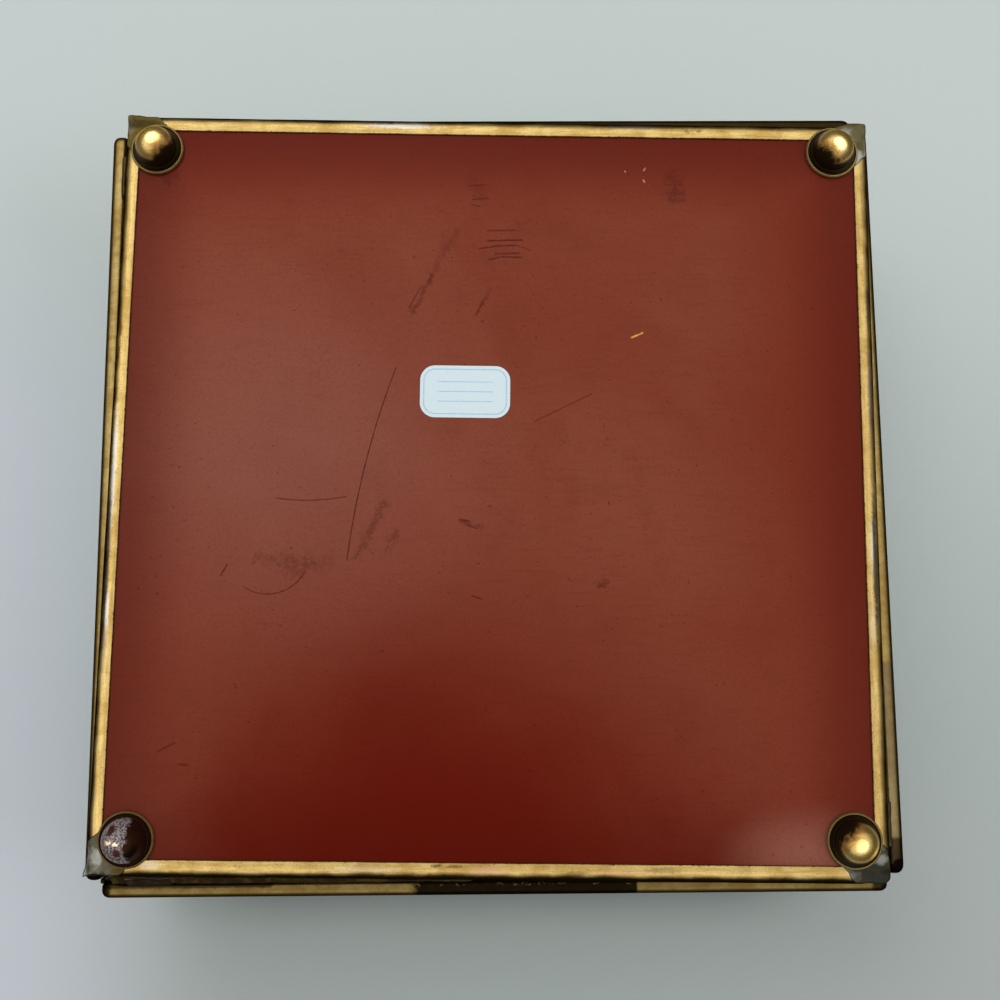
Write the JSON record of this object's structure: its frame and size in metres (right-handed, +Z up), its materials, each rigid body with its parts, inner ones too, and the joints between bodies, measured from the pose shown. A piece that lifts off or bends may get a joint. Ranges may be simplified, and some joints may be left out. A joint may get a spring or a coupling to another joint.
{
  "type": "jewelry casket",
  "caption": "Square glass-and-brass jewelry casket: glass panes in folded brass came, mirror base on domed feet, clear lid on a rod-and-tube hinge.",
  "frame": {"origin": "on the surface the feet stand on, in the middle of the footprint with the lift knob counted in", "axes": "+Z up, +Y towards the back where the lid is hinged, +X to the right seen from the front"},
  "size_m": [0.1574, 0.1612, 0.0633],
  "materials": {
    "brass": "polished brass, patinated",
    "solder": "dull tin-lead solder",
    "glass": "clear",
    "mirror_plate": "mirror, its back painted oxide red",
    "label": "plain white paper label"
  },
  "bodies": {
    "box": {"base_came_front": "brass", "base_came_back": "brass", "base_came_left": "brass", "base_came_right": "brass", "foot_front_left": "brass", "foot_front_right": "brass", "foot_back_left": "brass", "foot_back_right": "brass", "front_came": "brass", "back_came": "brass", "left_came": "brass", "right_came": "brass", "hinge_rod": "brass", "base_corner_solder": "solder", "corner_seam_solder": "solder", "tray_tack_solder": "solder", "front_glass": "glass", "back_glass": "glass", "left_glass": "glass", "right_glass": "glass", "base_mirror": "mirror_plate", "label": "label"},
    "lid": {"lid_came_front": "brass", "lid_came_back": "brass", "lid_came_left": "brass", "lid_came_right": "brass", "lid_knob": "brass", "hinge_tube": "brass", "lid_corner_solder": "solder", "hinge_tube_solder": "solder", "lid_glass": "glass"}
  },
  "joints": [
    {"name": "lid_hinge", "type": "hinge", "parent": "box", "child": "lid", "pos_m": [0, 0.079, 0.05855], "axis": [-1, 0, 0], "range_deg": [0, 104]}
  ]
}
